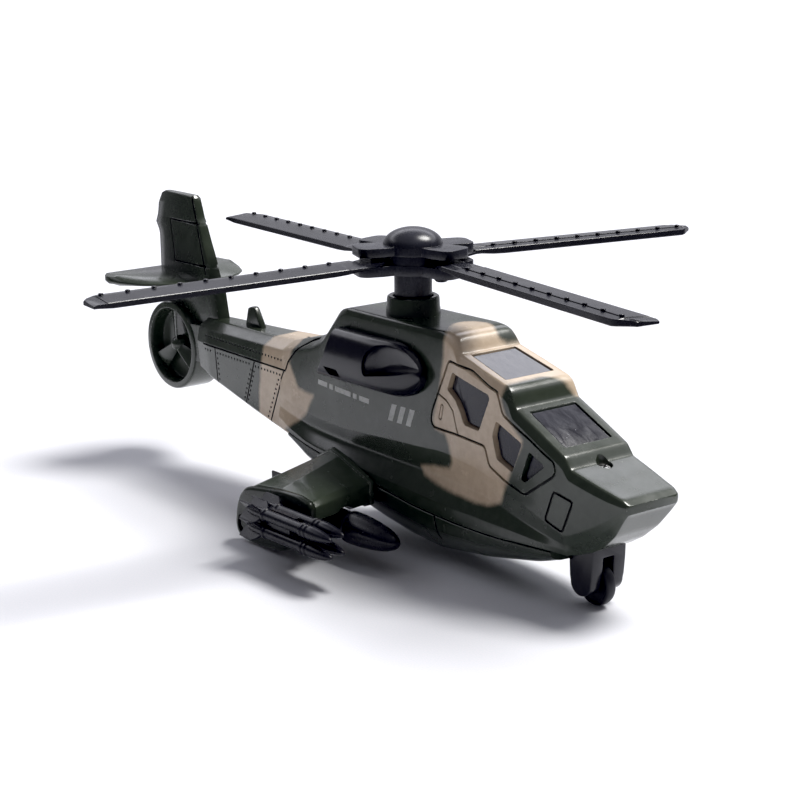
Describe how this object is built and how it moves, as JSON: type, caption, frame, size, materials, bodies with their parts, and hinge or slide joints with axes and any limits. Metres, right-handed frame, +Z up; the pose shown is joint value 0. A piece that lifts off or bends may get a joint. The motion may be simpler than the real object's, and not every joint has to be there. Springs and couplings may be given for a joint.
{
  "type": "toy helicopter",
  "caption": "Free-standing toy attack helicopter with a spinning four-blade rotor, a ducted tail fan, stub wings with stores and a three-wheel undercarriage.",
  "frame": {"origin": "centre of the bounding box on the floor the wheels stand on", "axes": "+X towards the nose, +Y to port, +Z up along the rotor axis"},
  "size_m": [0.2084, 0.1778, 0.0804],
  "materials": {
    "olive_paint": "gloss",
    "olive_plastic": "gloss",
    "black_plastic": "gloss",
    "dark_glazing": "gloss",
    "steel": "satin"
  },
  "bodies": {
    "airframe": {"upper_fuselage": "olive_paint", "belly_shell": "olive_plastic", "cockpit_glazing": "dark_glazing", "nacelle_left": "black_plastic", "nacelle_right": "black_plastic", "stub_wing_left": "olive_plastic", "stub_wing_right": "olive_plastic", "large_missile_left": "black_plastic", "large_missile_right": "black_plastic", "rocket_cluster_left": "black_plastic", "rocket_cluster_right": "black_plastic", "rear_axle_left": "steel", "rear_axle_right": "steel", "nose_fork": "black_plastic", "nose_axle": "steel", "tail_unit": "olive_plastic", "tailplane": "olive_plastic", "nose_screw": "steel", "spine_screw": "steel"},
    "rotor": {"rotor_mast": "black_plastic", "rotor_hub_cap": "black_plastic", "mast_washer": "steel", "mast_screw": "steel"},
    "blade_1": {"rotor_blade_1": "black_plastic"},
    "blade_2": {"rotor_blade_2": "black_plastic"},
    "blade_3": {"rotor_blade_3": "black_plastic"},
    "blade_4": {"rotor_blade_4": "black_plastic"},
    "tail_fans": {"tail_fan_left": "olive_plastic", "tail_fan_right": "olive_plastic", "tail_fan_pin": "steel"},
    "nose_wheel_body": {"nose_wheel": "black_plastic"},
    "rear_wheel_left_body": {"rear_wheel_left": "black_plastic"},
    "rear_wheel_right_body": {"rear_wheel_right": "black_plastic"}
  },
  "joints": [
    {"name": "main_rotor_spin", "type": "hinge", "parent": "airframe", "child": "rotor", "pos_m": [0.01531, 0, 0.0636], "axis": [0, 0, 1], "continuous": true},
    {"name": "blade_fold_1", "type": "hinge", "parent": "rotor", "child": "blade_1", "pos_m": [0.02463, 0.00186, 0.07285], "axis": [0, 0, 1], "range_deg": [-20, 20]},
    {"name": "blade_fold_2", "type": "hinge", "parent": "rotor", "child": "blade_2", "pos_m": [0.01871, 0.00887, 0.07285], "axis": [0, 0, 1], "range_deg": [-20, 20]},
    {"name": "blade_fold_3", "type": "hinge", "parent": "rotor", "child": "blade_3", "pos_m": [0.00599, -0.00186, 0.07285], "axis": [0, 0, 1], "range_deg": [-20, 20]},
    {"name": "blade_fold_4", "type": "hinge", "parent": "rotor", "child": "blade_4", "pos_m": [0.01191, -0.00887, 0.07285], "axis": [0, 0, 1], "range_deg": [-20, 20]},
    {"name": "tail_fan_spin", "type": "hinge", "parent": "airframe", "child": "tail_fans", "pos_m": [-0.09129, 0, 0.0327], "axis": [0, 1, 0], "continuous": true},
    {"name": "nose_wheel_spin", "type": "hinge", "parent": "airframe", "child": "nose_wheel_body", "pos_m": [0.08251, 0, 0.0054], "axis": [0, 1, 0], "continuous": true},
    {"name": "rear_wheel_left_spin", "type": "hinge", "parent": "airframe", "child": "rear_wheel_left_body", "pos_m": [-0.00219, 0.0316, 0.0054], "axis": [0, 1, 0], "continuous": true},
    {"name": "rear_wheel_right_spin", "type": "hinge", "parent": "airframe", "child": "rear_wheel_right_body", "pos_m": [-0.00219, -0.0316, 0.0054], "axis": [0, 1, 0], "continuous": true}
  ]
}
